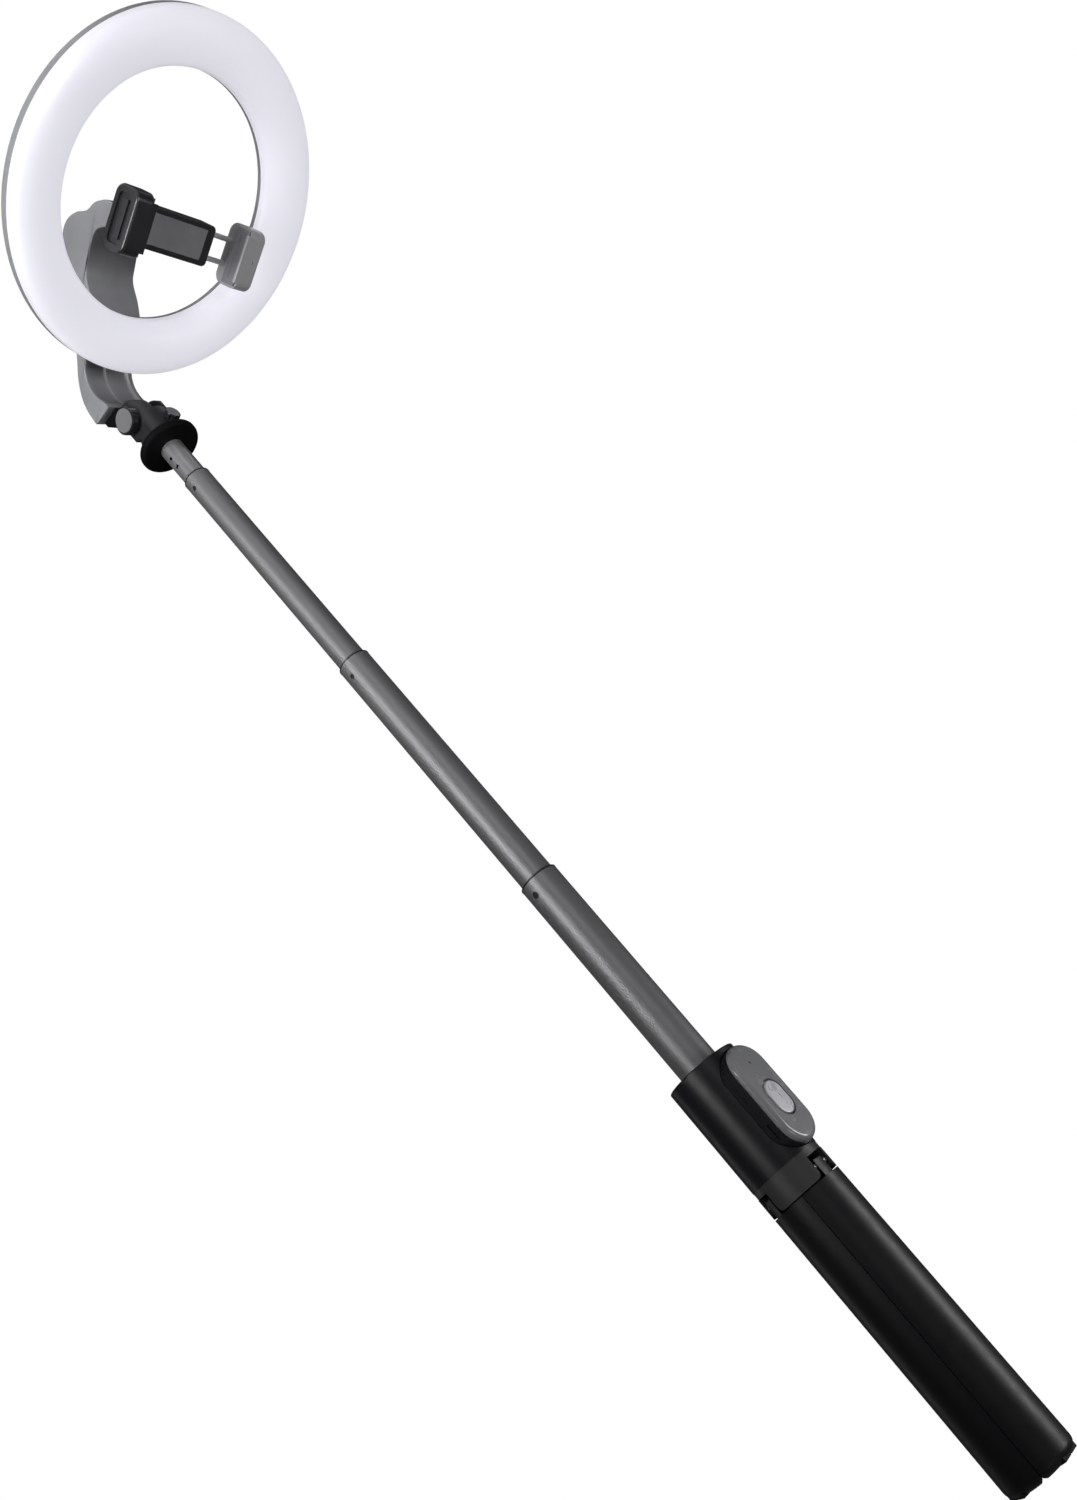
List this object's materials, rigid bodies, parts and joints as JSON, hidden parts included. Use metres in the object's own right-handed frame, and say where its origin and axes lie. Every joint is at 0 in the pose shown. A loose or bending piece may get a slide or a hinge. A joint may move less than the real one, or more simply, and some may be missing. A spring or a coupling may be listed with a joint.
{
  "type": "selfie stick",
  "caption": "Telescopic selfie stick with a folding tripod handle, docked remote, tilting head, ring light and rotating phone clamp",
  "frame": {"origin": "on the stick's axis, at the middle of the folded leg grip, 80 mm above the grip's lower end", "axes": "+Z along the stick from the handle to the head, +X along the tilt axis to the side with the tilt knob, +Y to the side on which the remote is docked and over which the ring light leans"},
  "size_m": [0.2068, 0.2336, 0.8382],
  "materials": {
    "soft_black": "soft matte black",
    "gunmetal": "satin grey anodised tube",
    "bush": "black polymer",
    "steel": "plain steel",
    "rubber": "matte",
    "grey_rubber": "soft grey",
    "gloss_black": "glossy black",
    "arm_grey": "satin grey",
    "neck_grey": "satin grey",
    "cap_grey": "satin grey",
    "ring_grey": "satin light grey",
    "diffuser": "milky white",
    "remote_top": "glossy dark grey",
    "pearl": "pearly silver",
    "board": "green solder mask",
    "led": "yellow phosphor",
    "cell": "foil pouch"
  },
  "bodies": {
    "handle": {"hub_core": "soft_black", "hinge_pins": "steel", "inner_sleeve": "bush", "collar_shell": "soft_black", "hub_screws": "steel", "collar_bush": "bush"},
    "leg_1": {"leg_1_shell": "soft_black", "leg_1_foot": "rubber"},
    "leg_2": {"leg_2_shell": "soft_black", "leg_2_foot": "rubber"},
    "leg_3": {"leg_3_shell": "soft_black", "leg_3_foot": "rubber"},
    "stage_a": {"tube_a": "gunmetal", "tube_a_foot_bush": "bush", "tube_a_mouth_bush": "bush"},
    "stage_b": {"tube_b": "gunmetal", "tube_b_foot_bush": "bush", "tube_b_mouth_bush": "bush"},
    "stage_c": {"tube_c": "gunmetal", "tube_c_foot_bush": "bush", "tube_c_mouth_bush": "bush"},
    "stage_d": {"tube_d": "gunmetal", "tube_d_foot_bush": "bush", "head_flange": "gloss_black", "flange_rivets": "steel", "pan_screw": "steel"},
    "swivel_neck": {"neck": "neck_grey", "tilt_bolt": "steel"},
    "pan_lock": {"pan_lock_knob": "gloss_black"},
    "tilt_knob": {"tilt_knob": "gloss_black", "tilt_knob_cap": "cap_grey"},
    "ring_arm": {"arm_shell": "arm_grey", "arm_cover": "arm_grey", "hinge_block": "gloss_black", "battery_cell": "cell", "control_board": "board", "charge_port": "steel", "ring_bracket": "soft_black", "bracket_screws": "steel", "ring_housing": "ring_grey", "ring_diffuser": "diffuser", "led_board": "board", "leds": "led"},
    "power_key": {"power_button": "gloss_black"},
    "up_key": {"up_button": "gloss_black"},
    "down_key": {"down_button": "gloss_black"},
    "clamp": {"clamp_body": "soft_black", "clamp_post": "soft_black", "clamp_pad": "grey_rubber", "fixed_jaw": "soft_black", "fixed_jaw_pad": "grey_rubber", "clamp_spring": "steel"},
    "slider": {"sliding_jaw": "soft_black", "sliding_jaw_pad": "grey_rubber", "guide_rods": "steel"},
    "remote": {"remote_lower_shell": "gloss_black", "remote_upper_shell": "remote_top", "remote_board": "board", "coin_cell": "steel"},
    "shutter": {"shutter_button": "pearl"}
  },
  "joints": [
    {"name": "leg_1_fold", "type": "hinge", "parent": "handle", "child": "leg_1", "pos_m": [0, 0.016, 0.077], "axis": [1, 0, 0], "range_deg": [0, 65]},
    {"name": "leg_2_fold", "type": "hinge", "parent": "handle", "child": "leg_2", "pos_m": [-0.01386, -0.008, 0.077], "axis": [-0.5, 0.866, 0], "range_deg": [0, 65]},
    {"name": "leg_3_fold", "type": "hinge", "parent": "handle", "child": "leg_3", "pos_m": [0.01386, -0.008, 0.077], "axis": [-0.5, -0.866, 0], "range_deg": [0, 65]},
    {"name": "tube_a_slide", "type": "slide", "parent": "handle", "child": "stage_a", "axis": [0, 0, 1], "range_m": [-0.122, 0.034]},
    {"name": "tube_b_slide", "type": "slide", "parent": "stage_a", "child": "stage_b", "axis": [0, 0, 1], "range_m": [-0.16, 0.005]},
    {"name": "tube_c_slide", "type": "slide", "parent": "stage_b", "child": "stage_c", "axis": [0, 0, 1], "range_m": [-0.157, 0.003]},
    {"name": "tube_d_slide", "type": "slide", "parent": "stage_c", "child": "stage_d", "axis": [0, 0, 1], "range_m": [-0.026, 0.12]},
    {"name": "head_pan", "type": "hinge", "parent": "stage_d", "child": "swivel_neck", "pos_m": [0, 0, 0.6285], "axis": [0, 0, 1], "continuous": true},
    {"name": "pan_lock_turn", "type": "hinge", "parent": "swivel_neck", "child": "pan_lock", "pos_m": [0, 0.014, 0.6344], "axis": [0, 1, 0], "continuous": true},
    {"name": "tilt_knob_turn", "type": "hinge", "parent": "swivel_neck", "child": "tilt_knob", "pos_m": [0.0154, 0, 0.649], "axis": [1, 0, 0], "continuous": true},
    {"name": "arm_tilt", "type": "hinge", "parent": "swivel_neck", "child": "ring_arm", "pos_m": [0, 0, 0.649], "axis": [1, 0, 0], "range_deg": [-60, 74]},
    {"name": "power_press", "type": "slide", "parent": "ring_arm", "child": "power_key", "axis": [0, 0.2823, -0.9593], "range_m": [0, 0.0006], "stiffness_N_per_m": 1200, "springref_m": -0.0004},
    {"name": "up_press", "type": "slide", "parent": "ring_arm", "child": "up_key", "axis": [0, 0.2823, -0.9593], "range_m": [0, 0.0006], "stiffness_N_per_m": 1200, "springref_m": -0.0004},
    {"name": "down_press", "type": "slide", "parent": "ring_arm", "child": "down_key", "axis": [0, 0.2823, -0.9593], "range_m": [0, 0.0006], "stiffness_N_per_m": 1200, "springref_m": -0.0004},
    {"name": "clamp_turn", "type": "hinge", "parent": "ring_arm", "child": "clamp", "pos_m": [0, 0.09327, 0.71815], "axis": [0, -0.2823, 0.9593], "continuous": true},
    {"name": "jaw_slide", "type": "slide", "parent": "clamp", "child": "slider", "axis": [0.9921, 0.1202, 0.0354], "range_m": [-0.014, 0.015]},
    {"name": "remote_release", "type": "slide", "parent": "handle", "child": "remote", "axis": [0, 1, 0], "range_m": [0, 0.03]},
    {"name": "shutter_press", "type": "slide", "parent": "remote", "child": "shutter", "axis": [0, -1, 0], "range_m": [0, 0.0006], "stiffness_N_per_m": 1200, "springref_m": -0.0004}
  ]
}
